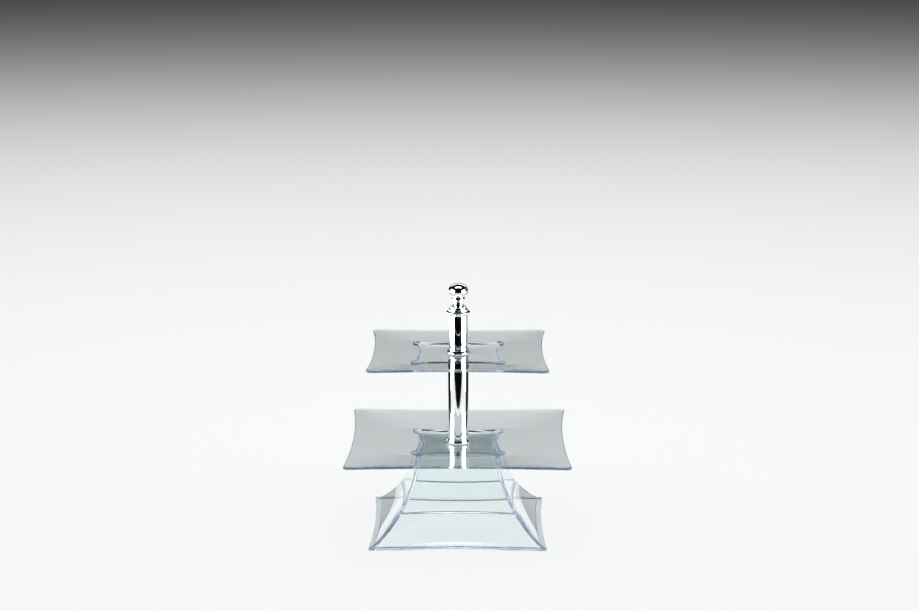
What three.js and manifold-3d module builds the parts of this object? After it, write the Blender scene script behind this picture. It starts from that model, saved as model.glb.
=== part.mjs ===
// Two-tier cake stand: a hollow clear pedestal with four concave flanks carries two clear
// square trays. Chrome tubes hold the trays apart, and one tie rod on the axis, with a knob
// on top and a nut inside the pedestal, clamps the whole stack together.
//
// Units are millimetres, +Z is up, and the origin is the middle of the base on the table.

import Module from 'manifold-3d';
import * as THREE from 'three';
import { mergeVertices } from 'three/addons/utils/BufferGeometryUtils.js';

const wasm = await Module();
wasm.setup();

// ---- Driving dimensions ------------------------------------------------------------------

// Touching pieces stand this far apart.
const GAP = 0.25;

// Bowed square outlines: steps along one side and round one corner.
const SIDE_STEPS = 7;
const CORNER_STEPS = 3;
const OUTLINE_POINTS = 4 * (SIDE_STEPS + CORNER_STEPS);
const ROUND_SEGMENTS = 24;

// Trays. Half-widths are from the axis to a corner, along X or Y. `fullness` is how much
// rounder the corners of the flange's level lines are half way out, which keeps it free of creases.
const LOWER_TRAY = { floorZ: 124, rimHalf: 160.5, rimBow: 7.7, rise: 5.3, fullness: 32 };
const UPPER_TRAY = { floorZ: 257, rimHalf: 129, rimBow: 7.3, rise: 3.4, fullness: 22 };
const TRAY_THICKNESS = 4;
const RIM_ROUNDING = 1.2;
const TRAY_CORNER = 4.5;
const FLANGE_CURVE = 1.6;
const FLANGE_STEPS = 5;
const WELL_DEPTH = 3.4;
const WELL_HALF = 62.5;
const WELL_FLOOR_HALF = 61.5;
const WELL_BOW = 7.8;
const WELL_CORNER = 3;
// The step under a tray lies this far outside the well's own step.
const STEP_OFFSET = 1.6;
const FULLNESS_START_HALF = 80;

// Shallow round pocket in each corner of a well, and the boss beneath that holds it.
const POCKET_CENTRE = 59.4;
const POCKET_RADIUS = 4.9;
const BOSS_RADIUS = 7.2;
const POCKET_SEGMENTS = 16;

// Pedestal. Its ridges follow a circle whose centre is outside the flank.
const PEDESTAL_TOP_Z = 118.6;
const PEDESTAL_WALL = 4;
const RIDGE_CENTRE_HALF = 214.3;
const RIDGE_CENTRE_Z = 125;
const RIDGE_RADIUS = 152.8;
const SEAM_Z = 41;
const FOOT_HALF = 127;
const FOOT_INNER_HALF = 117.6;
const FOOT_EDGE_Z = 3.4;
const FOOT_INNER_Z = 1.5;
const EDGE_ROUNDING = 0.6;
const NECK_STEPS = 6;
const SKIRT_STEPS = 5;
const LIP_Z = 4.9;
const TOP_BOW = 7.3;
const FOOT_BOW = 5;
const BOW_CHANGE_HALF = 85;
const ROOF_BOW_HALF = 60;
const PEDESTAL_CORNER = 4;
const INNER_CORNER = 1.5;

// Tie rod and what is threaded or bored for it.
const ROD_RADIUS = 4;
const ROD_BOTTOM_Z = 97;
const ROD_TOP_Z = 336.5;
const ROD_CHAMFER = 0.8;
const THREAD_BORE_RADIUS = 4.3;
const CLEARANCE_HOLE_RADIUS = 4.6;

// Posts: outer radius and foot ring of each tube.
const TUBE_WALL = 1.2;
const LOWER_POST = { radius: 15.3, ringRadius: 17.5, ringHeight: 5.6 };
const UPPER_POST = { radius: 13.8, ringRadius: 16.3, ringHeight: 5.6 };
// Foot ring: heights of its widest band, and what is left of its wall at each end.
const RING_BAND = [1.6, 2.8];
const RING_FOOT_WALL = 1.4;
const RING_TOP_WALL = 0.6;
const UPPER_TUBE_TOP_Z = 317.5;
const SEAT_THICKNESS = 0.5;
const PEDESTAL_SEAT_MARGIN = 6;
const BUSH_HEIGHT = 8;
const BUSH_INSET = 0.3;

// Collar on top of the upper tube.
const COLLAR_BOTTOM_Z = 315;
const COLLAR_TOP_Z = 319.8;
const COLLAR_RADIUS = 17.1;
const COLLAR_LIP = 0.5;
const COLLAR_HOLE_RADIUS = 6;

// Finial, from its seat on the thrust washer to the top of the ball.
const THRUST_WASHER = { radius: 12.5, thickness: 0.6 };
const FINIAL_BOTTOM_Z = COLLAR_TOP_Z + 2 * GAP + THRUST_WASHER.thickness;
const BALL_Z = 350.6;
const BALL_RADIUS = 14.6;
const BALL_HALF_HEIGHT = 10.8;
const BALL_ROOT_RADIUS = 8.5;
const BALL_STEPS = 9;
// Radius and height above the seat of each corner of the finial's two rings, waist and bead.
const FINIAL_TURNING = [
  [13.7, 0],
  [14.2, 0.5],
  [14.2, 2.4],
  [13.6, 3],
  [11.2, 3.4],
  [11.6, 4],
  [11.4, 6],
  [8.6, 8.2],
  [7.5, 10.8],
  [7.8, 14.4],
  [9.6, 17.4],
  [9.9, 18.6],
  [9.2, 19.6],
];
const INSERT_RADIUS = 6;
const INSERT_HEIGHT = 17.6;

// Clamping stack under the pedestal's roof, from the top down.
const PAD = { radius: 10, thickness: 0.9 };
const STEEL_WASHER = { radius: 9, thickness: 1.6 };
const NUT = { acrossFlats: 13, height: 8, chamfer: 1.2 };

// ---- Materials ---------------------------------------------------------------------------

function material(color, roughness, metalness, opacity = 1) {
  return new THREE.MeshStandardMaterial({
    color,
    roughness,
    metalness,
    opacity,
    transparent: opacity < 1,
  });
}

const clearAcrylic = material(0xe8eef2, 0.05, 0, 0.35);
const clearVinyl = material(0xe4e8ea, 0.3, 0, 0.5);
const chrome = material(0xdfe1e3, 0.06, 1);
const steel = material(0xb4b6b8, 0.3, 1);
const brass = material(0xc9a45a, 0.3, 1);
const nylon = material(0xf0efe9, 0.55, 0);

// ---- Geometry helpers --------------------------------------------------------------------

/** Joins equal vertices and drops triangles without area, so that the mesh is closed. */
function closed(geometry) {
  const bare = new THREE.BufferGeometry();
  bare.setAttribute('position', geometry.getAttribute('position'));
  if (geometry.index) bare.setIndex(geometry.index);
  const merged = mergeVertices(bare, 1e-4);
  const corners = merged.index.array;
  const kept = [];
  for (let i = 0; i < corners.length; i += 3) {
    const [a, b, c] = corners.slice(i, i + 3);
    if (a !== b && b !== c && c !== a) kept.push(a, b, c);
  }
  merged.setIndex(kept);
  return merged;
}

function toManifold(geometry) {
  const merged = closed(geometry);
  return new wasm.Manifold(new wasm.Mesh({
    numProp: 3,
    vertProperties: new Float32Array(merged.getAttribute('position').array),
    triVerts: new Uint32Array(merged.index.array),
  }));
}

function fromManifold(solid) {
  const mesh = solid.getMesh();
  const geometry = new THREE.BufferGeometry();
  geometry.setAttribute('position', new THREE.BufferAttribute(mesh.vertProperties, 3));
  geometry.setIndex(new THREE.BufferAttribute(mesh.triVerts, 1));
  return geometry;
}

/** Round solid from a profile of [radius, height] that runs up its outside. */
function turned(profile, segments = ROUND_SEGMENTS) {
  const points = profile.map(([radius, height]) => new THREE.Vector2(radius, height));
  return closed(new THREE.LatheGeometry(points, segments).rotateX(Math.PI / 2));
}

/** Flat ring with square edges. */
function ring(innerRadius, outerRadius, bottomZ, topZ) {
  return turned([
    [innerRadius, bottomZ],
    [outerRadius, bottomZ],
    [outerRadius, topZ],
    [innerRadius, topZ],
    [innerRadius, bottomZ],
  ]);
}

/** Cylinder on the axis, for cutting. */
function plug(radius, bottomZ, topZ, segments = ROUND_SEGMENTS) {
  const cylinder = new THREE.CylinderGeometry(radius, radius, topZ - bottomZ, segments);
  return cylinder.rotateX(Math.PI / 2).translate(0, 0, (bottomZ + topZ) / 2);
}

/** The geometry with a round hole through it on the axis. */
function withAxisHole(geometry, radius) {
  geometry.computeBoundingBox();
  const { min, max } = geometry.boundingBox;
  const hole = toManifold(plug(radius, min.z - 1, max.z + 1));
  return fromManifold(toManifold(geometry).subtract(hole));
}

/**
 * Point number `index` of a square outline whose sides bow inwards. `half` is from the axis to
 * the corner along X or Y, `bow` is how far the middle of a side lies inside it, and the
 * corners are rounded to `corner`.
 */
function outlinePoint({ half, bow, corner }, index) {
  const perSide = SIDE_STEPS + CORNER_STEPS;
  const step = index % perSide;
  const slope = half > 0 ? Math.atan((2 * bow) / half) : 0;
  const halfAngle = Math.PI / 4 - slope;
  const reach = Math.min(corner, half / 3) / Math.tan(halfAngle);
  const radius = reach * Math.tan(halfAngle);
  const straight = half - reach * Math.cos(slope);
  const point = new THREE.Vector2();
  if (step <= SIDE_STEPS) {
    const along = straight * ((2 * step) / SIDE_STEPS - 1);
    const share = half > 0 ? along / half : 0;
    point.set(half - bow * (1 - share * share), along);
  } else {
    const centre = half - radius / Math.sin(halfAngle) / Math.SQRT2;
    const turn = (step - SIDE_STEPS) / CORNER_STEPS;
    const angle = -slope + turn * (Math.PI / 2 + 2 * slope);
    point.set(centre + radius * Math.cos(angle), centre + radius * Math.sin(angle));
  }
  const quarter = Math.floor(index / perSide) % 4;
  return point.rotateAround(new THREE.Vector2(), (quarter * Math.PI) / 2);
}

/** Solid whose level sections are bowed squares, from a profile that runs up its outside. */
function bowedSolid(profile) {
  const points = profile.map(({ half, z }) => new THREE.Vector2(half, z));
  const geometry = new THREE.LatheGeometry(points, OUTLINE_POINTS);
  const position = geometry.getAttribute('position');
  for (let i = 0; i <= OUTLINE_POINTS; i += 1) {
    profile.forEach((section, j) => {
      const { x, y } = outlinePoint(section, i % OUTLINE_POINTS);
      position.setXYZ(i * profile.length + j, x, y, section.z);
    });
  }
  return closed(geometry);
}

/** Evenly spaced numbers from `start` to `end`, both included. */
function steps(start, end, count) {
  return Array.from({ length: count + 1 }, (_, i) => start + ((end - start) * i) / count);
}

// ---- Clear mouldings ---------------------------------------------------------------------

/** Four round plugs at the corners of a well, joined into one solid. */
function cornerPlugs(radius, bottomZ, topZ) {
  const signs = [[1, 1], [-1, 1], [-1, -1], [1, -1]];
  const plugs = signs.map(([x, y]) => {
    const one = plug(radius, bottomZ, topZ, POCKET_SEGMENTS);
    return toManifold(one.translate(x * POCKET_CENTRE, y * POCKET_CENTRE, 0));
  });
  return plugs.reduce((joined, one) => joined.add(one));
}

/** Square tray: a flat sunken well with pocketed corners, a short step and a rising flange. */
function tray({ floorZ, rimHalf, rimBow, rise, fullness }) {
  const undersideZ = floorZ - TRAY_THICKNESS;
  const wellTopZ = floorZ + WELL_DEPTH;
  const share = (half) => Math.max(0, (half - WELL_HALF) / (rimHalf - WELL_HALF));
  const topZ = (half) => wellTopZ + rise * share(half) ** FLANGE_CURVE;
  const section = (half, z) => {
    const out = share(half);
    const wellBow = WELL_BOW * Math.min(1, half / WELL_HALF);
    const bow = THREE.MathUtils.lerp(wellBow, rimBow, out);
    const plain = THREE.MathUtils.lerp(WELL_CORNER, TRAY_CORNER, out);
    const full = Math.max(0, (half - FULLNESS_START_HALF) / (rimHalf - FULLNESS_START_HALF));
    return { half, z, bow, corner: plain + 4 * full * (1 - full) * fullness };
  };
  const flange = steps(WELL_HALF + 2 * STEP_OFFSET, rimHalf - 3 * RIM_ROUNDING, FLANGE_STEPS);
  const rimTopZ = topZ(rimHalf);
  const plate = toManifold(bowedSolid([
    section(0, undersideZ),
    section(WELL_FLOOR_HALF + STEP_OFFSET, undersideZ),
    section(WELL_HALF + STEP_OFFSET, undersideZ + WELL_DEPTH),
    ...flange.map((half) => section(half, topZ(half) - TRAY_THICKNESS)),
    section(rimHalf - RIM_ROUNDING, rimTopZ - TRAY_THICKNESS),
    section(rimHalf, rimTopZ - TRAY_THICKNESS + RIM_ROUNDING),
    section(rimHalf, rimTopZ - RIM_ROUNDING),
    section(rimHalf - RIM_ROUNDING, rimTopZ),
    ...flange.toReversed().map((half) => section(half, topZ(half))),
    section(WELL_HALF, wellTopZ),
    section(WELL_FLOOR_HALF, floorZ),
    section(0, floorZ),
  ]));
  const bosses = cornerPlugs(BOSS_RADIUS, undersideZ, wellTopZ - TRAY_THICKNESS / 2);
  const pockets = cornerPlugs(POCKET_RADIUS, floorZ, wellTopZ + WELL_DEPTH);
  return withAxisHole(fromManifold(plate.add(bosses).subtract(pockets)), CLEARANCE_HOLE_RADIUS);
}

/** Half-width of the pedestal's ridge at a height, for its outer or inner face. */
function ridgeHalf(z, wall = 0) {
  const radius = RIDGE_RADIUS + wall;
  return RIDGE_CENTRE_HALF - Math.sqrt(radius ** 2 - (RIDGE_CENTRE_Z - z) ** 2);
}

/** How far the pedestal's flanks bow in at a half-width. */
function pedestalBow(half) {
  const share = (half - BOW_CHANGE_HALF) / (FOOT_HALF - BOW_CHANGE_HALF);
  return TOP_BOW + (FOOT_BOW - TOP_BOW) * THREE.MathUtils.clamp(share, 0, 1);
}

function pedestalSection(half, z, corner) {
  const bow = pedestalBow(half) * Math.min(1, half / ROOF_BOW_HALF);
  return { half, z, bow, corner };
}

function outerFace(zs) {
  return zs.map((z) => pedestalSection(ridgeHalf(z), z, PEDESTAL_CORNER));
}

function innerFace(zs) {
  return zs.map((z) => pedestalSection(ridgeHalf(z, PEDESTAL_WALL), z, INNER_CORNER));
}

/** Upper moulding of the pedestal: steep hollow neck with a flat roof. */
function pedestalNeck() {
  const bottomZ = SEAM_Z + GAP / 2;
  const roofZ = PEDESTAL_TOP_Z - PEDESTAL_WALL;
  const topHalf = ridgeHalf(PEDESTAL_TOP_Z);
  return withAxisHole(bowedSolid([
    ...outerFace(steps(bottomZ, PEDESTAL_TOP_Z - EDGE_ROUNDING, NECK_STEPS)),
    pedestalSection(topHalf - EDGE_ROUNDING, PEDESTAL_TOP_Z, PEDESTAL_CORNER),
    pedestalSection(0, PEDESTAL_TOP_Z, PEDESTAL_CORNER),
    pedestalSection(0, roofZ, INNER_CORNER),
    ...innerFace(steps(roofZ, bottomZ, NECK_STEPS)),
    ...outerFace([bottomZ]),
  ]), CLEARANCE_HOLE_RADIUS);
}

/** Lower moulding of the pedestal: a flared skirt that ends in a flat foot. */
function pedestalSkirt() {
  const topZ = SEAM_Z - GAP / 2;
  return bowedSolid([
    pedestalSection(FOOT_INNER_HALF, 0, INNER_CORNER),
    pedestalSection(FOOT_HALF - EDGE_ROUNDING, 0, PEDESTAL_CORNER),
    pedestalSection(FOOT_HALF, EDGE_ROUNDING, PEDESTAL_CORNER),
    pedestalSection(FOOT_HALF, FOOT_EDGE_Z, PEDESTAL_CORNER),
    ...outerFace(steps(LIP_Z, topZ, SKIRT_STEPS)),
    ...innerFace(steps(topZ, FOOT_INNER_Z, SKIRT_STEPS)),
    pedestalSection(FOOT_INNER_HALF, 0, INNER_CORNER),
  ]);
}

/** Thin clear seat that keeps two mouldings from rubbing. */
function pedestalSeat() {
  const half = ridgeHalf(PEDESTAL_TOP_Z) - PEDESTAL_SEAT_MARGIN;
  const bottomZ = PEDESTAL_TOP_Z + GAP;
  const topZ = LOWER_TRAY.floorZ - TRAY_THICKNESS - GAP;
  return withAxisHole(bowedSolid([
    pedestalSection(0, bottomZ, INNER_CORNER),
    pedestalSection(half, bottomZ, PEDESTAL_CORNER),
    pedestalSection(half, topZ, PEDESTAL_CORNER),
    pedestalSection(0, topZ, INNER_CORNER),
  ]), CLEARANCE_HOLE_RADIUS);
}

// ---- Posts -------------------------------------------------------------------------------

/** Height at which a post stands on its tray, above the clear seat. */
function postFootZ({ floorZ }) {
  return floorZ + 2 * GAP + SEAT_THICKNESS;
}

function postSeat({ ringRadius }, bottomZ) {
  return ring(CLEARANCE_HOLE_RADIUS, ringRadius - 1, bottomZ, bottomZ + SEAT_THICKNESS);
}

function postTube({ radius }, bottomZ, topZ) {
  return ring(radius - TUBE_WALL, radius, bottomZ, topZ);
}

/** Ring round a tube's foot, widest below its middle. */
function footRing({ radius, ringRadius, ringHeight }, bottomZ) {
  const inner = radius + GAP;
  const topZ = bottomZ + ringHeight;
  return turned([
    [inner, bottomZ],
    [inner + RING_FOOT_WALL, bottomZ],
    ...RING_BAND.map((rise) => [ringRadius, bottomZ + rise]),
    [inner + RING_TOP_WALL, topZ],
    [inner, topZ],
    [inner, bottomZ],
  ]);
}

/** Bush that centres a tube on the rod. */
function bush({ radius }, bottomZ) {
  const outer = radius - TUBE_WALL - BUSH_INSET;
  return ring(THREAD_BORE_RADIUS, outer, bottomZ, bottomZ + BUSH_HEIGHT);
}

/** Collar that caps the upper tube and widens towards the finial. */
function topCollar() {
  const bore = UPPER_POST.radius + GAP;
  const roofZ = UPPER_TUBE_TOP_Z + GAP;
  return turned([
    [bore, COLLAR_BOTTOM_Z],
    [bore + COLLAR_LIP, COLLAR_BOTTOM_Z],
    [COLLAR_RADIUS, COLLAR_TOP_Z - COLLAR_LIP],
    [COLLAR_RADIUS, COLLAR_TOP_Z],
    [COLLAR_HOLE_RADIUS, COLLAR_TOP_Z],
    [COLLAR_HOLE_RADIUS, roofZ],
    [bore, roofZ],
    [bore, COLLAR_BOTTOM_Z],
  ]);
}

// ---- Finial ------------------------------------------------------------------------------

/** Knob: two rings, a waisted neck, a bead and an oblate ball, bored from below. */
function finialKnob() {
  const boreRadius = INSERT_RADIUS + GAP;
  const boreTopZ = FINIAL_BOTTOM_Z + INSERT_HEIGHT + 2 * GAP;
  const startAngle = -Math.acos(BALL_ROOT_RADIUS / BALL_RADIUS);
  const ball = steps(startAngle, Math.PI / 2, BALL_STEPS).map((angle) => [
    BALL_RADIUS * Math.cos(angle),
    BALL_Z + BALL_HALF_HEIGHT * Math.sin(angle),
  ]);
  ball[ball.length - 1][0] = 0;
  return turned([
    [0, boreTopZ],
    [boreRadius, boreTopZ],
    [boreRadius, FINIAL_BOTTOM_Z],
    ...FINIAL_TURNING.map(([radius, rise]) => [radius, FINIAL_BOTTOM_Z + rise]),
    ...ball,
  ]);
}

function finialInsert() {
  const bottomZ = FINIAL_BOTTOM_Z + GAP;
  return ring(THREAD_BORE_RADIUS, INSERT_RADIUS, bottomZ, bottomZ + INSERT_HEIGHT);
}

function finialThrustWasher() {
  const bottomZ = COLLAR_TOP_Z + GAP;
  const topZ = bottomZ + THRUST_WASHER.thickness;
  return ring(COLLAR_HOLE_RADIUS, THRUST_WASHER.radius, bottomZ, topZ);
}

// ---- Rod and clamping stack --------------------------------------------------------------

function tieRod() {
  return turned([
    [0, ROD_BOTTOM_Z],
    [ROD_RADIUS - ROD_CHAMFER, ROD_BOTTOM_Z],
    [ROD_RADIUS, ROD_BOTTOM_Z + ROD_CHAMFER],
    [ROD_RADIUS, ROD_TOP_Z - ROD_CHAMFER],
    [ROD_RADIUS - ROD_CHAMFER, ROD_TOP_Z],
    [0, ROD_TOP_Z],
  ]);
}

const PAD_TOP_Z = PEDESTAL_TOP_Z - PEDESTAL_WALL - GAP;
const STEEL_WASHER_TOP_Z = PAD_TOP_Z - PAD.thickness - GAP;
const NUT_TOP_Z = STEEL_WASHER_TOP_Z - STEEL_WASHER.thickness - GAP;

function stackRing({ radius, thickness }, topZ) {
  return ring(CLEARANCE_HOLE_RADIUS, radius, topZ - thickness, topZ);
}

/** Hexagon nut with chamfered corners. */
function clampNut() {
  const bottomZ = NUT_TOP_Z - NUT.height;
  const cornerRadius = NUT.acrossFlats / Math.sqrt(3);
  const hexagon = toManifold(plug(cornerRadius, bottomZ, NUT_TOP_Z, 6));
  const rounded = toManifold(turned([
    [0, bottomZ],
    [NUT.acrossFlats / 2, bottomZ],
    [cornerRadius + GAP, bottomZ + NUT.chamfer],
    [cornerRadius + GAP, NUT_TOP_Z - NUT.chamfer],
    [NUT.acrossFlats / 2, NUT_TOP_Z],
    [0, NUT_TOP_Z],
  ]));
  return withAxisHole(fromManifold(hexagon.intersect(rounded)), THREAD_BORE_RADIUS);
}

// ---- Assembly ----------------------------------------------------------------------------

const stand = new THREE.Group();

function add(name, geometry, finish) {
  const mesh = new THREE.Mesh(geometry, finish);
  mesh.name = name;
  stand.add(mesh);
}

const lowerPostZ = postFootZ(LOWER_TRAY);
const upperPostZ = postFootZ(UPPER_TRAY);
const upperTrayUndersideZ = UPPER_TRAY.floorZ - TRAY_THICKNESS;
const lowerTubeTopZ = upperTrayUndersideZ - 2 * GAP - SEAT_THICKNESS;

add('pedestal_skirt', pedestalSkirt(), clearAcrylic);
add('pedestal_neck', pedestalNeck(), clearAcrylic);
add('lower_plate', tray(LOWER_TRAY), clearAcrylic);
add('upper_plate', tray(UPPER_TRAY), clearAcrylic);

add('pedestal_gasket', pedestalSeat(), clearVinyl);
add('lower_post_gasket', postSeat(LOWER_POST, LOWER_TRAY.floorZ + GAP), clearVinyl);
add('upper_plate_gasket', postSeat(LOWER_POST, lowerTubeTopZ + GAP), clearVinyl);
add('upper_post_gasket', postSeat(UPPER_POST, UPPER_TRAY.floorZ + GAP), clearVinyl);

add('lower_post_tube', postTube(LOWER_POST, lowerPostZ, lowerTubeTopZ), chrome);
add('lower_post_foot_ring', footRing(LOWER_POST, lowerPostZ), chrome);
add('upper_post_tube', postTube(UPPER_POST, upperPostZ, UPPER_TUBE_TOP_Z), chrome);
add('upper_post_foot_ring', footRing(UPPER_POST, upperPostZ), chrome);
add('upper_post_top_collar', topCollar(), chrome);

add('lower_post_bottom_bush', bush(LOWER_POST, lowerPostZ), nylon);
add('lower_post_top_bush', bush(LOWER_POST, lowerTubeTopZ - BUSH_HEIGHT), nylon);
add('upper_post_bottom_bush', bush(UPPER_POST, upperPostZ), nylon);
add('upper_post_top_bush', bush(UPPER_POST, UPPER_TUBE_TOP_Z - BUSH_HEIGHT), nylon);

add('tie_rod', tieRod(), steel);
add('nut_pad', stackRing(PAD, PAD_TOP_Z), clearVinyl);
add('nut_washer', stackRing(STEEL_WASHER, STEEL_WASHER_TOP_Z), steel);
add('clamp_nut', clampNut(), steel);

add('finial_thrust_washer', finialThrustWasher(), nylon);
add('finial_insert', finialInsert(), brass);
add('finial_knob', finialKnob(), chrome);

export default stand;
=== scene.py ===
"""Looks of the two-tier cake stand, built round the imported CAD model. Metres, +Z up."""

import math

import bmesh
import bpy
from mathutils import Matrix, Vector


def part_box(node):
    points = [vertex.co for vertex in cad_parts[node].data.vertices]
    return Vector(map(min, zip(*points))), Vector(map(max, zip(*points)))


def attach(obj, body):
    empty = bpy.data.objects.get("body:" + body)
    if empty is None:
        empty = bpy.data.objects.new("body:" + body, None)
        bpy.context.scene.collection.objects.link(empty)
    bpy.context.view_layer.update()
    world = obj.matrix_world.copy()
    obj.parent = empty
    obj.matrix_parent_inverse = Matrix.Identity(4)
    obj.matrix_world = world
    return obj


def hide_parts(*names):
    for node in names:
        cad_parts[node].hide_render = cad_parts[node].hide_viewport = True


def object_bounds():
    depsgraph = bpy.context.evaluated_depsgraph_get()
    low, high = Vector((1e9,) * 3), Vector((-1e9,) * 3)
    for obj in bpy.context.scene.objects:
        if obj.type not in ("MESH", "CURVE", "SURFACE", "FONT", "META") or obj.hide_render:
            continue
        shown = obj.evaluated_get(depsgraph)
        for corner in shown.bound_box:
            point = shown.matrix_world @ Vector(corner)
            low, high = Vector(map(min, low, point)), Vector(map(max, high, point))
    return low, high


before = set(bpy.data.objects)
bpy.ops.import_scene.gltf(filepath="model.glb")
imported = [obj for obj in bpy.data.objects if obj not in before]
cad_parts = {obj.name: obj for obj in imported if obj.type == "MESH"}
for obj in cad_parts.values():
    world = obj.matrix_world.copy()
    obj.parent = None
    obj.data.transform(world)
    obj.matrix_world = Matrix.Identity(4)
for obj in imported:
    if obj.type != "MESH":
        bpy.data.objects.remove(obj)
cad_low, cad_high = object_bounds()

MM = 0.001

# ---- Sizes that the CAD boxes don't say (metres) -------------------------------------------

GAP = 0.25 * MM

HALVINGS = 30
SIDE_STEPS = 40
CORNER_STEPS = 20
ROUND_STEPS = 96
ARC_STEPS = 6
LONGEST_STEP = 4 * MM

TRAY_THICKNESS = 4 * MM
RIM_ROUNDING = 1.9 * MM
WELL_DEPTH = 3.4 * MM
WELL_HALF = 62.5 * MM
WELL_FLOOR_HALF = 61.5 * MM
WELL_BOW = 7.8 * MM
LOWER_RIM_BOW = 7.7 * MM
UPPER_RIM_BOW = 7.3 * MM
LOWER_FULLNESS = 32 * MM
UPPER_FULLNESS = 22 * MM
TRAY_CORNER = 4.5 * MM
WELL_CORNER = 3 * MM
FLANGE_CURVE = 1.6
FLANGE_START_HALF = 80 * MM
STEP_OFFSET = 1.6 * MM
POCKET_CENTRE = 59.4 * MM
POCKET_RADIUS = 4.9 * MM
BOSS_RADIUS = 6.8 * MM
POCKET_DRAFT = 0.6

PEDESTAL_WALL = 4 * MM
RIDGE_CENTRE_HALF = 214.3 * MM
RIDGE_CENTRE_Z = 125 * MM
RIDGE_RADIUS = 152.8 * MM
FOOT_INNER_HALF = 117.6 * MM
FOOT_EDGE_Z = 3.4 * MM
LIP_Z = 4.9 * MM
TOP_BOW = 7.3 * MM
FOOT_BOW = 5 * MM
BOW_CHANGE_HALF = 85 * MM
PEDESTAL_CORNER = 4 * MM
INNER_CORNER = 1.5 * MM

HOLE_RADIUS = 4.6 * MM
THREAD_PITCH = 1.25 * MM
THREAD_DEPTH = 0.6 * MM
THREADED_LENGTH = 28 * MM
TUBE_WALL = 1.2 * MM

# ---- Rings and meshes ----------------------------------------------------------------------


def outline(half, bow, corner):
    """Points of a square with sides that bow inwards and rounded corners, anticlockwise."""
    slope = math.atan(2 * bow / half)
    half_angle = math.pi / 4 - slope
    centre = half - corner / math.sin(half_angle) / math.sqrt(2)
    straight = half - corner / math.tan(half_angle) * math.cos(slope)
    side = []
    for i in range(SIDE_STEPS + 1):
        along = straight * (2 * i / SIDE_STEPS - 1)
        side.append((half - bow * (1 - (along / half) ** 2), along))
    for i in range(1, CORNER_STEPS):
        angle = -slope + (math.pi / 2 + 2 * slope) * i / CORNER_STEPS
        side.append((centre + corner * math.cos(angle), centre + corner * math.sin(angle)))
    return four_times(side)


def four_times(side):
    """A side's points and its next corner's, repeated round the axis."""
    points = []
    for quarter in range(4):
        cos, sin = math.cos(quarter * math.pi / 2), math.sin(quarter * math.pi / 2)
        points += [(cos * x - sin * y, sin * x + cos * y) for x, y in side]
    return points


def half_of(extent, bow, corner):
    """Corner half-width of an outline whose rounded corners reach out to extent."""
    half = extent
    for _ in range(4):
        half_angle = math.pi / 4 - math.atan(2 * bow / half)
        half = extent - corner + corner / math.sin(half_angle) / math.sqrt(2)
    return half


def bowed_ring(half, z, bow, corner):
    return [(x, y, z) for x, y in outline(half, bow, corner)]


def hole_ring(radius, z, like):
    """A circle with its points at the same angles as those of a bowed ring."""
    ring = []
    for x, y, _ in like:
        length = math.hypot(x, y)
        ring.append((x / length * radius, y / length * radius, z))
    return ring


def circle(radius, z, steps=ROUND_STEPS):
    turns = [2 * math.pi * i / steps for i in range(steps)]
    return [(radius * math.cos(a), radius * math.sin(a), z) for a in turns]


def skin(name, rings, material, closed=True):
    """Object whose surface runs from ring to ring. A ring of one point is a pole."""
    mesh = bmesh.new()
    rows = [[mesh.verts.new(point) for point in ring] for ring in rings]
    pairs = list(zip(rows, rows[1:] + rows[:1])) if closed else list(zip(rows, rows[1:]))
    for low, high in pairs:
        count = max(len(low), len(high))
        for i in range(count):
            j = (i + 1) % count
            if len(low) == 1:
                mesh.faces.new((low[0], high[j], high[i]))
            elif len(high) == 1:
                mesh.faces.new((low[i], low[j], high[0]))
            else:
                mesh.faces.new((low[i], low[j], high[j], high[i]))
    bmesh.ops.recalc_face_normals(mesh, faces=mesh.faces)
    for face in mesh.faces:
        face.smooth = True
    data = bpy.data.meshes.new(name)
    mesh.to_mesh(data)
    mesh.free()
    data.materials.append(material)
    piece = bpy.data.objects.new(name, data)
    bpy.context.scene.collection.objects.link(piece)
    piece.modifiers.new("even_normals", "WEIGHTED_NORMAL").keep_sharp = True
    return piece


def rounded(corners, closed=True):
    """Turns (distance, height, radius) corners into points, with an arc at each corner."""
    points = []
    count = len(corners)
    for i, (r, z, radius) in enumerate(corners):
        here = Vector((r, z))
        if not radius or (not closed and i in (0, count - 1)):
            points.append(here)
            continue
        before = Vector(corners[i - 1][:2]) - here
        after = Vector(corners[(i + 1) % count][:2]) - here
        half_angle = before.angle(after) / 2
        reach = radius / math.tan(half_angle)
        reach = min(reach, before.length * 0.49, after.length * 0.49)
        radius = reach * math.tan(half_angle)
        inward = (before.normalized() + after.normalized()).normalized()
        centre = here + inward * (radius / math.sin(half_angle))
        start = here + before.normalized() * reach - centre
        end = here + after.normalized() * reach - centre
        sweep = start.angle_signed(end)
        for k in range(ARC_STEPS + 1):
            turn = -sweep * k / ARC_STEPS
            cos, sin = math.cos(turn), math.sin(turn)
            points.append(
                centre + Vector((cos * start.x - sin * start.y, sin * start.x + cos * start.y))
            )
    return points


def divided(points, longest=LONGEST_STEP, closed=True):
    """The same path with no step longer than longest."""
    ends = points[1:] + points[:1] if closed else points[1:]
    path = []
    for start, end in zip(points, ends):
        parts = max(1, math.ceil((end - start).length / longest))
        path += [start.lerp(end, k / parts) for k in range(parts)]
    if not closed:
        path.append(points[-1])
    return path


def turned(name, corners, material, longest=LONGEST_STEP):
    """Round piece from closed (radius, height, rounding) corners."""
    path = divided(rounded(corners), longest)
    return skin(name, [circle(p.x, p.y) for p in path], material)


def flat_ring(name, inner, outer, bottom, top, material, edge=0.2 * MM):
    return turned(
        name,
        [(inner, bottom, edge), (outer, bottom, edge), (outer, top, edge), (inner, top, edge)],
        material,
    )


def stand_in(piece, node, body):
    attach(piece, body)
    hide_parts(node)


# ---- Materials -----------------------------------------------------------------------------


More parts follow.
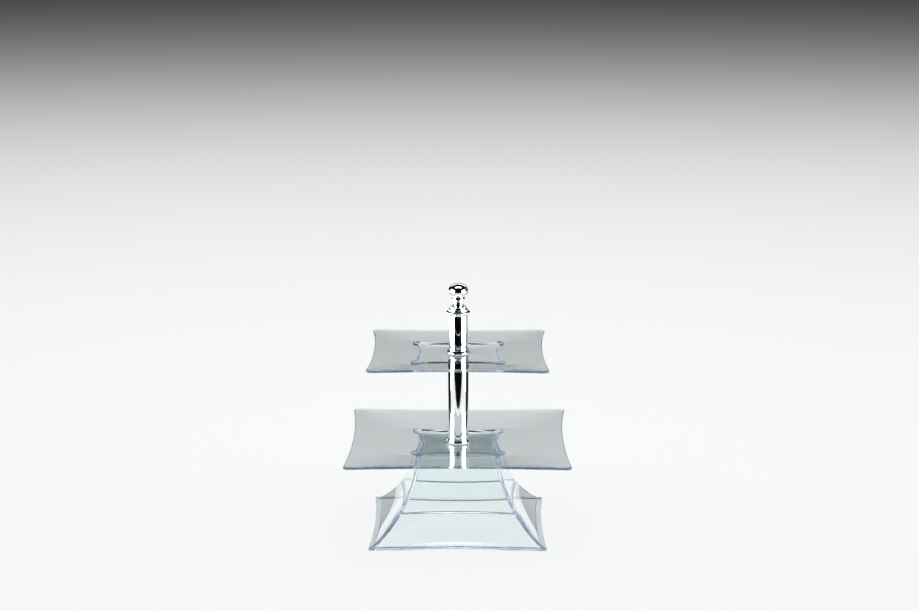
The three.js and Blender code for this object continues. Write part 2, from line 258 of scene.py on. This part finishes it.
class Look:
    """A new material with short ways to add and join its nodes."""

    def __init__(self, name):
        self.material = bpy.data.materials.new(name)
        self.material.use_nodes = True
        self.tree = self.material.node_tree
        self.shader = self.tree.nodes["Principled BSDF"]
        self.output = self.tree.nodes["Material Output"]
        self.coordinates = self.add("ShaderNodeTexCoord").outputs["Object"]

    def add(self, kind, **settings):
        node = self.tree.nodes.new(kind)
        for key, value in settings.items():
            setattr(node, key, value)
        return node

    def join(self, start, end):
        self.tree.links.new(start, end)

    def set(self, **values):
        for key, value in values.items():
            self.shader.inputs[key.replace("_", " ")].default_value = value

    def noise(self, scale, detail=2.0, stretch=(1, 1, 1)):
        """Noise with scale waves a metre, as a socket from 0 to 1."""
        place = self.add("ShaderNodeMapping")
        place.inputs["Scale"].default_value = stretch
        self.join(self.coordinates, place.inputs["Vector"])
        noise = self.add("ShaderNodeTexNoise")
        noise.inputs["Scale"].default_value = scale
        noise.inputs["Detail"].default_value = detail
        self.join(place.outputs["Vector"], noise.inputs["Vector"])
        return noise.outputs["Fac"]

    def between(self, source, low, high):
        """source from 0 to 1, stretched to run from low to high."""
        stretch = self.add("ShaderNodeMapRange")
        stretch.inputs["To Min"].default_value = low
        stretch.inputs["To Max"].default_value = high
        self.join(source, stretch.inputs["Value"])
        return stretch.outputs["Result"]

    def rough(self, source, low, high):
        self.join(self.between(source, low, high), self.shader.inputs["Roughness"])

    def bump(self, source, distance, strength=1.0):
        bump = self.add("ShaderNodeBump")
        bump.inputs["Distance"].default_value = distance
        bump.inputs["Strength"].default_value = strength
        self.join(source, bump.inputs["Height"])
        self.join(bump.outputs["Normal"], self.shader.inputs["Normal"])

    def let_lamps_through(self, tint):
        """Shadow rays pass, so that the clear pieces leave the floor bright."""
        clear = self.add("ShaderNodeBsdfTransparent")
        clear.inputs["Color"].default_value = (*tint, 1)
        mix = self.add("ShaderNodeMixShader")
        path = self.add("ShaderNodeLightPath")
        self.join(path.outputs["Is Shadow Ray"], mix.inputs["Fac"])
        self.join(self.shader.outputs["BSDF"], mix.inputs[1])
        self.join(clear.outputs["BSDF"], mix.inputs[2])
        self.join(mix.outputs["Shader"], self.output.inputs["Surface"])

    def absorb(self, colour, density):
        volume = self.add("ShaderNodeVolumeAbsorption")
        volume.inputs["Color"].default_value = (*colour, 1)
        volume.inputs["Density"].default_value = density
        self.join(volume.outputs["Volume"], self.output.inputs["Volume"])


def clear_acrylic():
    """Clear moulded acrylic: polished, with slow waves from the mould and faint haze."""
    look = Look("clear_acrylic")
    look.set(Base_Color=(0.93, 0.985, 0.985, 1), Transmission_Weight=1, IOR=1.49)
    look.rough(look.noise(60, 3), 0.0, 0.03)
    look.bump(look.noise(18, 1), 0.05 * MM)
    look.let_lamps_through((1, 1, 1))
    look.absorb((0.4, 0.52, 0.78), 4)
    return look.material


def clear_vinyl():
    look = Look("clear_vinyl")
    look.set(Base_Color=(0.97, 0.98, 0.98, 1), Transmission_Weight=1, IOR=1.45)
    look.rough(look.noise(300, 2), 0.02, 0.1)
    look.bump(look.noise(400, 2), 0.01 * MM)
    look.let_lamps_through((1, 1, 1))
    return look.material


def chrome():
    """Bright plating: nearly a mirror, with faint wipe marks round the post."""
    look = Look("chrome")
    look.set(Base_Color=(0.93, 0.94, 0.95, 1), Metallic=1)
    look.rough(look.noise(900, 3, (1, 1, 0.15)), 0.015, 0.06)
    look.bump(look.noise(120, 1), 0.01 * MM)
    return look.material


def zinc_steel():
    """Zinc-plated steel with drawing marks along its length."""
    look = Look("zinc_steel")
    look.set(Base_Color=(0.62, 0.63, 0.64, 1), Metallic=1)
    look.rough(look.noise(1500, 4, (1, 1, 0.1)), 0.22, 0.42)
    look.bump(look.noise(2500, 3), 0.02 * MM)
    return look.material


def brass():
    look = Look("brass")
    look.set(Base_Color=(0.72, 0.52, 0.22, 1), Metallic=1)
    look.rough(look.noise(1200, 4), 0.22, 0.4)
    look.bump(look.noise(1500, 3), 0.02 * MM)
    return look.material


def nylon():
    look = Look("nylon")
    look.set(Base_Color=(0.86, 0.85, 0.8, 1), Subsurface_Weight=0.1)
    look.rough(look.noise(900, 4), 0.42, 0.6)
    look.bump(look.noise(1800, 3), 0.02 * MM)
    return look.material


ACRYLIC = clear_acrylic()
VINYL = clear_vinyl()
CHROME = chrome()
STEEL = zinc_steel()
BRASS = brass()
NYLON = nylon()

# ---- Clear mouldings -----------------------------------------------------------------------


def pocketed_ring(half, z, pocket):
    """Outline of a well whose bowed sides run into a round pocket at each corner."""

    def side_at(along):
        return half - WELL_BOW * (1 - (along / half) ** 2)

    outside, inside = 0, half
    for _ in range(HALVINGS):
        along = (outside + inside) / 2
        if math.hypot(side_at(along) - POCKET_CENTRE, along - POCKET_CENTRE) > pocket:
            outside = along
        else:
            inside = along
    side = [
        (side_at(along * (2 * i / SIDE_STEPS - 1)), along * (2 * i / SIDE_STEPS - 1))
        for i in range(SIDE_STEPS + 1)
    ]
    start = math.atan2(along - POCKET_CENTRE, side_at(along) - POCKET_CENTRE)
    for i in range(1, CORNER_STEPS):
        angle = start + (math.pi / 2 - 2 * start) * i / CORNER_STEPS
        side.append(
            (POCKET_CENTRE + pocket * math.cos(angle), POCKET_CENTRE + pocket * math.sin(angle))
        )
    return [(x, y, z) for x, y in four_times(side)]


def well_step(floor_offset, floor_z, top_offset, top_z, pocket, rounding):
    """Rings from a well's floor up its wall. Offsets are from the well's outline, outwards."""
    flat = 8 * MM
    corners = [
        (floor_offset - flat, floor_z, 0),
        (floor_offset, floor_z, rounding),
        (top_offset, top_z, rounding),
        (top_offset + flat, top_z, 0),
    ]
    path = rounded(corners, closed=False)[1:-1]
    return [pocketed_ring(WELL_HALF + p.x, p.y, pocket + POCKET_DRAFT * p.x) for p in path]


def tray(node, body, rim_bow, fullness):
    """Square tray: sunken well with pocketed corners, and a flange that rises to the rim."""
    low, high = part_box(node)
    floor = low.z + TRAY_THICKNESS
    well_top = floor + WELL_DEPTH
    rise = high.z - well_top
    rim = half_of(high.x - 0.02 * MM, rim_bow, TRAY_CORNER)

    def share(half):
        return max(0, (half - WELL_HALF) / (rim - WELL_HALF))

    def top(half):
        return well_top + rise * share(half) ** FLANGE_CURVE

    def plain_ring(half, z):
        out = share(half)
        bow = WELL_BOW * min(1, half / WELL_HALF) * (1 - out) + rim_bow * out
        corner = WELL_CORNER + (TRAY_CORNER - WELL_CORNER) * out
        full = max(0, (half - FLANGE_START_HALF) / (rim - FLANGE_START_HALF))
        return bowed_ring(half, z, bow, corner + 4 * full * (1 - full) * fullness)

    last = rim - 2 * RIM_ROUNDING
    flange = heights(WELL_HALF + 3 * STEP_OFFSET, last, 32)
    edge = rounded(
        [
            (last, top(last) - TRAY_THICKNESS, 0),
            (rim, top(rim) - TRAY_THICKNESS, RIM_ROUNDING),
            (rim, top(rim), RIM_ROUNDING),
            (last, top(last), 0),
        ],
        closed=False,
    )[1:-1]
    wall = WELL_FLOOR_HALF - WELL_HALF
    middle = WELL_FLOOR_HALF - 10 * MM
    inside = plain_ring(middle, floor)
    under_step = well_step(
        wall + STEP_OFFSET, low.z, STEP_OFFSET, well_top - TRAY_THICKNESS, BOSS_RADIUS, 0.5 * MM
    )
    step = well_step(wall, floor, 0, well_top, POCKET_RADIUS, 0.4 * MM)
    rings = [
        hole_ring(HOLE_RADIUS, low.z, inside),
        plain_ring(middle, low.z),
        *under_step,
        *[plain_ring(half, top(half) - TRAY_THICKNESS) for half in flange],
        *[plain_ring(point.x, point.y) for point in edge],
        *[plain_ring(half, top(half)) for half in reversed(flange)],
        *reversed(step),
        inside,
        hole_ring(HOLE_RADIUS, floor, inside),
    ]
    piece = skin(f"{node}_moulding", rings, ACRYLIC)
    stand_in(piece, node, body)


def heights(start, end, count=30):
    return [start + (end - start) * i / count for i in range(count + 1)]


def ridge(z, wall=0.0):
    """Corner half-width of the pedestal's outer or inner face at a height."""
    return RIDGE_CENTRE_HALF - math.sqrt((RIDGE_RADIUS + wall) ** 2 - (RIDGE_CENTRE_Z - z) ** 2)


def pedestal_ring(half, z, corner):
    foot_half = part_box("pedestal_skirt")[1].x
    share = (half - BOW_CHANGE_HALF) / (foot_half - BOW_CHANGE_HALF)
    bow = TOP_BOW + (FOOT_BOW - TOP_BOW) * min(1, max(0, share))
    return bowed_ring(half, z, bow, corner)


def outer_face(zs):
    return [pedestal_ring(ridge(z), z, PEDESTAL_CORNER) for z in zs]


def inner_face(zs):
    return [pedestal_ring(ridge(z, PEDESTAL_WALL), z, INNER_CORNER) for z in zs]


def edge_arc(half, z, radius, start, end, corner):
    """Rings round an edge, with the arc's centre at half and z, and angles in degrees."""
    angles = [math.radians(a) for a in heights(start, end, ARC_STEPS)]
    return [
        pedestal_ring(half + radius * math.cos(a), z + radius * math.sin(a), corner)
        for a in angles
    ]


def pedestal_neck():
    """Upper moulding: steep hollow neck under a flat roof with a hole for the rod."""
    low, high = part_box("pedestal_neck")
    roof = high.z - PEDESTAL_WALL
    edge = 1 * MM
    top_half = ridge(high.z - edge)
    inner_half = ridge(roof - edge, PEDESTAL_WALL)
    outside = outer_face(heights(low.z, high.z - edge))
    top_edge = edge_arc(top_half - edge, high.z - edge, edge, 0, 90, PEDESTAL_CORNER)[1:]
    roof_edge = edge_arc(inner_half - edge, roof - edge, edge, 90, 0, INNER_CORNER)[:-1]
    inside = inner_face(heights(roof - edge, low.z))
    hole_top = hole_ring(HOLE_RADIUS, high.z, top_edge[-1])
    hole_bottom = hole_ring(HOLE_RADIUS, roof, top_edge[-1])
    rings = [*outside, *top_edge, hole_top, hole_bottom, *roof_edge, *inside]
    piece = skin("pedestal_neck_moulding", rings, ACRYLIC)
    stand_in(piece, "pedestal_neck", "base")


def pedestal_skirt():
    """Lower moulding: flared skirt that ends in a flat foot with a small lip."""
    low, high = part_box("pedestal_skirt")
    edge = 0.6 * MM
    foot = half_of(high.x - 0.02 * MM, FOOT_BOW, PEDESTAL_CORNER)
    bottom_edge = edge_arc(foot - edge, edge, edge, -90, 0, PEDESTAL_CORNER)
    lip_edge = edge_arc(foot - edge, FOOT_EDGE_Z - edge, edge, 0, 75, PEDESTAL_CORNER)
    outside = outer_face(heights(LIP_Z, high.z))
    inside = inner_face(heights(high.z, 1.6 * MM))
    foot_inside = [
        pedestal_ring(FOOT_INNER_HALF, z, INNER_CORNER) for z in (0.4 * MM, low.z)
    ]
    rings = [*bottom_edge, *lip_edge, *outside, *inside, *foot_inside]
    piece = skin("pedestal_skirt_moulding", rings, ACRYLIC)
    stand_in(piece, "pedestal_skirt", "base")


def pedestal_gasket():
    low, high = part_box("pedestal_gasket")
    half = half_of(high.x, TOP_BOW, PEDESTAL_CORNER)
    edge = 0.25 * MM
    sides = [
        pedestal_ring(half - edge, low.z, PEDESTAL_CORNER),
        pedestal_ring(half, low.z + edge, PEDESTAL_CORNER),
        pedestal_ring(half, high.z - edge, PEDESTAL_CORNER),
        pedestal_ring(half - edge, high.z, PEDESTAL_CORNER),
    ]
    hole_bottom = hole_ring(HOLE_RADIUS, low.z, sides[0])
    hole_top = hole_ring(HOLE_RADIUS, high.z, sides[0])
    piece = skin("pedestal_gasket_sheet", [hole_bottom, *sides, hole_top], VINYL)
    stand_in(piece, "pedestal_gasket", "base")


# ---- Posts ---------------------------------------------------------------------------------


def simple_ring(node, body, material, inner, edge=0.2 * MM):
    """Flat or tubular ring that fills its CAD box outside the inner radius."""
    low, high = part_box(node)
    piece = flat_ring(f"{node}_ring", inner, high.x, low.z, high.z, material, edge)
    stand_in(piece, node, body)


def foot_ring(node, tube_radius):
    """Ring round the bottom of a tube, widest below its middle."""
    low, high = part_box(node)
    inner = tube_radius + GAP
    corners = [
        (inner, low.z, 0),
        (inner + 1.4 * MM, low.z, 0.2 * MM),
        (high.x, low.z + 1.6 * MM, 0.5 * MM),
        (high.x, low.z + 2.8 * MM, 0.5 * MM),
        (inner + 0.6 * MM, high.z, 0.3 * MM),
        (inner, high.z, 0.1 * MM),
    ]
    piece = turned(f"{node}_plated", corners, CHROME)
    stand_in(piece, node, "base")


def top_collar(tube_radius, tube_top):
    """Collar on the upper tube, widening upwards to a bright lip."""
    low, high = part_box("upper_post_top_collar")
    bore = tube_radius + GAP
    hole = 6 * MM
    corners = [
        (bore, low.z, 0),
        (bore + 0.5 * MM, low.z, 0.2 * MM),
        (high.x, high.z - 0.7 * MM, 0.25 * MM),
        (high.x, high.z, 0.25 * MM),
        (hole, high.z, 0),
        (hole, tube_top + GAP, 0),
        (bore, tube_top + GAP, 0),
    ]
    piece = turned("upper_post_top_collar_plated", corners, CHROME, 1 * MM)
    stand_in(piece, "upper_post_top_collar", "base")


# ---- Finial --------------------------------------------------------------------------------


def finial_knob():
    """Two rings, a waisted neck, a bead and an oblate ball, bored from below."""
    low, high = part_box("finial_knob")
    insert_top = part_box("finial_insert")[1]
    bore = insert_top.x + GAP
    ball_radius = high.x
    ball_half_height = 10.8 * MM
    ball_root_radius = 8.5 * MM
    ball_z = high.z - ball_half_height
    base = low.z
    corners = [
        (bore, insert_top.z + GAP, 0),
        (bore, base, 0),
        (14.2 * MM, base, 0.5 * MM),
        (14.2 * MM, base + 2.9 * MM, 0.7 * MM),
        (11.3 * MM, base + 3.3 * MM, 0.2 * MM),
        (11.6 * MM, base + 3.8 * MM, 0.4 * MM),
        (11.6 * MM, base + 6 * MM, 0.7 * MM),
        (8.6 * MM, base + 8.2 * MM, 1.6 * MM),
        (7.5 * MM, base + 10.8 * MM, 3 * MM),
        (7.7 * MM, base + 14.4 * MM, 2 * MM),
        (9.9 * MM, base + 17.2 * MM, 0.8 * MM),
        (9.7 * MM, base + 19 * MM, 0.5 * MM),
        (ball_root_radius, base + 20 * MM, 0),
    ]
    start = -math.acos(ball_root_radius / ball_radius)
    angles = [start + (math.pi / 2 - start) * i / 48 for i in range(48)]
    ball = [
        Vector((ball_radius * math.cos(a), ball_z + ball_half_height * math.sin(a)))
        for a in angles
    ]
    path = divided(rounded(corners, closed=False)[:-1] + ball, 1 * MM, closed=False)
    bore_top = [(0, 0, insert_top.z + GAP)]
    rings = [bore_top, *[circle(p.x, p.y) for p in path], [(0, 0, high.z)]]
    piece = skin("finial_knob_plated", rings, CHROME, closed=False)
    stand_in(piece, "finial_knob", "finial")


# ---- Rod and nut ---------------------------------------------------------------------------


def tie_rod():
    """Rod with a thread rolled into each end."""
    low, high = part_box("tie_rod")
    radius = high.x
    ring_step = THREAD_PITCH / 6
    rows = round(THREADED_LENGTH / ring_step)
    lower = [low.z + i * ring_step for i in range(rows + 1)]
    upper = [high.z - i * ring_step for i in range(rows, -1, -1)]
    chamfer = 0.8 * MM
    steps = 32

    def row(z):
        inside = min(z - low.z, high.z - z)
        end_cut = max(0, chamfer - inside)
        fade = min(1, max(0, (THREADED_LENGTH - inside) / THREAD_PITCH))
        points = []
        for i in range(steps):
            phase = (z / THREAD_PITCH - i / steps) % 1
            groove = THREAD_DEPTH * fade * abs(2 * phase - 1)
            r = radius - max(groove, end_cut)
            angle = 2 * math.pi * i / steps
            points.append((r * math.cos(angle), r * math.sin(angle), z))
        return points

    rings = [[(0, 0, low.z)], *[row(z) for z in lower + upper], [(0, 0, high.z)]]
    piece = skin("tie_rod_threaded", rings, STEEL, closed=False)
    stand_in(piece, "tie_rod", "base")


def clamp_nut():
    """Hexagon nut with chamfered corners and a countersunk thread."""
    low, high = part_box("clamp_nut")
    flat = high.x
    bore = 4.2 * MM
    corner_radius = flat / math.cos(math.pi / 6)
    slope = math.tan(math.radians(30))

    def hexagon(z):
        from_end = min(z - low.z, high.z - z)
        cone = flat - 0.2 * MM + from_end / slope
        points = []
        for i in range(ROUND_STEPS):
            angle = 2 * math.pi * i / ROUND_STEPS
            off_flat = (angle + math.pi / 6) % (math.pi / 3) - math.pi / 6
            r = min(flat / math.cos(off_flat), cone, corner_radius)
            points.append((r * math.cos(angle), r * math.sin(angle), z))
        return points

    outside = [hexagon(z) for z in heights(low.z, high.z, 32)]
    sink = 0.7 * MM
    inside = [
        circle(bore + sink, high.z),
        circle(bore, high.z - sink),
        circle(bore, low.z + sink),
        circle(bore + sink, low.z),
    ]
    piece = skin("clamp_nut_hexagon", [*outside, *inside], STEEL)
    stand_in(piece, "clamp_nut", "nut")


# ---- Assembly ------------------------------------------------------------------------------

tray("lower_plate", "lower_tray", LOWER_RIM_BOW, LOWER_FULLNESS)
tray("upper_plate", "upper_tray", UPPER_RIM_BOW, UPPER_FULLNESS)
pedestal_neck()
pedestal_skirt()
pedestal_gasket()
tie_rod()
clamp_nut()

for post in ("lower_post", "upper_post"):
    tube_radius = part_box(f"{post}_tube")[1].x
    simple_ring(f"{post}_tube", "base", CHROME, tube_radius - TUBE_WALL)
    foot_ring(f"{post}_foot_ring", tube_radius)
    simple_ring(f"{post}_gasket", "base", VINYL, HOLE_RADIUS)
    for end in ("bottom", "top"):
        simple_ring(f"{post}_{end}_bush", "base", NYLON, 4.3 * MM, 0.5 * MM)

upper_tube_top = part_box("upper_post_tube")[1]
top_collar(upper_tube_top.x, upper_tube_top.z)
simple_ring("upper_plate_gasket", "base", VINYL, HOLE_RADIUS)
simple_ring("nut_pad", "nut_carrier", VINYL, HOLE_RADIUS)
simple_ring("nut_washer", "nut_carrier", STEEL, HOLE_RADIUS)
simple_ring("finial_thrust_washer", "finial_carrier", NYLON, 6 * MM)
simple_ring("finial_insert", "finial", BRASS, 4.3 * MM, 0.3 * MM)
finial_knob()

# ---- Floor, light and camera ---------------------------------------------------------------

FLOOR_COLOUR = (0.88, 0.89, 0.89, 1)
FLOOR_DROP = 0.05 * MM
FLOOR_SIDE = 0.8
FLOOR_FRONT = -0.68
FLOOR_WIDENS = 0.4
FLOOR_BACK = 9.0
FLOOR_BACK_SIDE = 2.8
CARD_COLOUR = (0.01, 0.01, 0.01, 1)
CARD_WIDTH = 0.92
CARD_HEIGHT = 0.13
LAMP = 5.0
TABLE_LIGHT_SIZE = 8
TABLE_LIGHT_BRIGHTNESS = 1.56
LENS_LENGTH = 94.9
SENSOR_WIDTH = 36
FARTHEST_SEEN = 60
CAMERA_PLACE = (0.0273, -3.4043, 1.0833)
CAMERA_PITCH = 12.5
CAMERA_YAW = -0.43
ROOM_COLOUR = (0.6, 0.68, 0.75, 1)
ROOM_STRENGTH = 0.004
MOST_BOUNCES = 96
CLEAR_BOUNCES = 64


def panel(name, corners, look):
    """Single flat face of the stage, which isn't part of the object."""
    mesh = bmesh.new()
    mesh.faces.new([mesh.verts.new(corner) for corner in corners])
    data = bpy.data.meshes.new(name)
    mesh.to_mesh(data)
    mesh.free()
    data.materials.append(look.material)
    face = bpy.data.objects.new(name, data)
    bpy.context.scene.collection.objects.link(face)
    return face


def floor():
    """Plain pale floor of one colour, which reaches past the top of the view."""
    look = Look("floor")
    look.set(Base_Color=FLOOR_COLOUR, Roughness=0.9, Specular_IOR_Level=0.0)
    right = [
        (FLOOR_SIDE, FLOOR_FRONT, 0),
        (FLOOR_SIDE, FLOOR_WIDENS, 0),
        (FLOOR_BACK_SIDE, FLOOR_BACK, 0),
    ]
    left = [(-x, y, z) for x, y, z in reversed(right)]
    panel("floor", right + left, look).location.z = cad_low.z - FLOOR_DROP


def lamp(name, place, facing, width, height, brightness):
    """Rectangular lamp. facing is the way it shines, brightness what a mirror shows of it."""
    light = bpy.data.lights.new(name, "AREA")
    light.shape = "RECTANGLE"
    light.size = width
    light.size_y = height
    light.energy = brightness * math.pi * width * height
    box = bpy.data.objects.new(name, light)
    box.location = place
    box.rotation_euler = Vector(facing).to_track_quat("-Z", "Y").to_euler()
    box.visible_camera = False
    bpy.context.scene.collection.objects.link(box)
    return box


def softbox(*settings):
    """Lamp for what chrome and acrylic show. It leaves the floor's own light alone."""
    lamp(*settings).visible_diffuse = False


def dark_card(name, place):
    """Low upright card beside the stand, which gives the chrome and the clear edges dark lines."""
    look = Look(name)
    look.set(Base_Color=CARD_COLOUR, Roughness=0.9, Specular_IOR_Level=0.0)
    signs = [(-1, -1), (1, -1), (1, 1), (-1, 1)]
    corners = [(0, y * CARD_WIDTH / 2, z * CARD_HEIGHT / 2) for y, z in signs]
    card = panel(name, corners, look)
    card.location = place
    card.visible_camera = False
    card.visible_diffuse = False
    card.visible_shadow = False


def table_light():
    """Large even lamp above, for the floor and the matt pieces only.

    Its light counts by lamp sampling alone, which passes through the clear pieces.
    """
    size = TABLE_LIGHT_SIZE
    box = lamp("table_light", (0, 0.3, 3), (0, 0, -1), size, size, TABLE_LIGHT_BRIGHTNESS)
    box.data.cycles.use_multiple_importance_sampling = False
    box.visible_glossy = False
    box.visible_transmission = False


def camera():
    """Long lens, a little above the stand and looking slightly down."""
    lens = bpy.data.cameras.new("camera")
    lens.lens = LENS_LENGTH
    lens.sensor_width = SENSOR_WIDTH
    lens.clip_end = FARTHEST_SEEN
    view = bpy.data.objects.new("camera", lens)
    view.location = CAMERA_PLACE
    pitch = math.radians(CAMERA_PITCH)
    yaw = math.radians(CAMERA_YAW)
    forward = Vector(
        (math.sin(yaw) * math.cos(pitch), math.cos(yaw) * math.cos(pitch), -math.sin(pitch))
    )
    view.rotation_euler = forward.to_track_quat("-Z", "Y").to_euler()
    bpy.context.scene.collection.objects.link(view)
    bpy.context.scene.camera = view


def surroundings():
    """Dim, even room light."""
    world = bpy.data.worlds.new("room")
    world.use_nodes = True
    background = world.node_tree.nodes["Background"]
    background.inputs["Color"].default_value = ROOM_COLOUR
    background.inputs["Strength"].default_value = ROOM_STRENGTH
    scene = bpy.context.scene
    scene.world = world
    scene.view_settings.view_transform = "Standard"
    scene.cycles.caustics_refractive = False
    scene.cycles.caustics_reflective = False
    scene.cycles.max_bounces = MOST_BOUNCES
    scene.cycles.transmission_bounces = CLEAR_BOUNCES
    scene.cycles.transparent_max_bounces = CLEAR_BOUNCES
    scene.cycles.glossy_bounces = CLEAR_BOUNCES


floor()
softbox("left_softbox", (-0.84, -0.325, 0.4), (1, 0, 0), 0.91, 0.9, LAMP)
softbox("right_softbox", (0.84, -0.503, 0.4), (-1, 0, 0), 0.93, 0.9, LAMP)
softbox("low_left_strip", (-0.84, 0.72, 0.1), (1, 0, 0), 1.17, 0.2, LAMP)
softbox("low_right_strip", (0.84, 0.1, 0.1), (-1, 0, 0), 0.28, 0.2, LAMP)
softbox("back_right_strip", (0.84, 0.78, 0.4), (-1, 0, 0), 0.4, 1.0, 0.1 * LAMP)
softbox("overhead_softbox", (0, -0.08, 1.6), (0, 0, -1), 1.2, 0.35, LAMP)
softbox("back_softbox", (0, 1.5, 1.35), (0, -0.75, -0.66), 2.4, 0.5, 0.35 * LAMP)
dark_card("left_card", (-0.5, 0.44, 0.067))
dark_card("right_card", (0.5, 0.44, 0.067))
table_light()
surroundings()
camera()
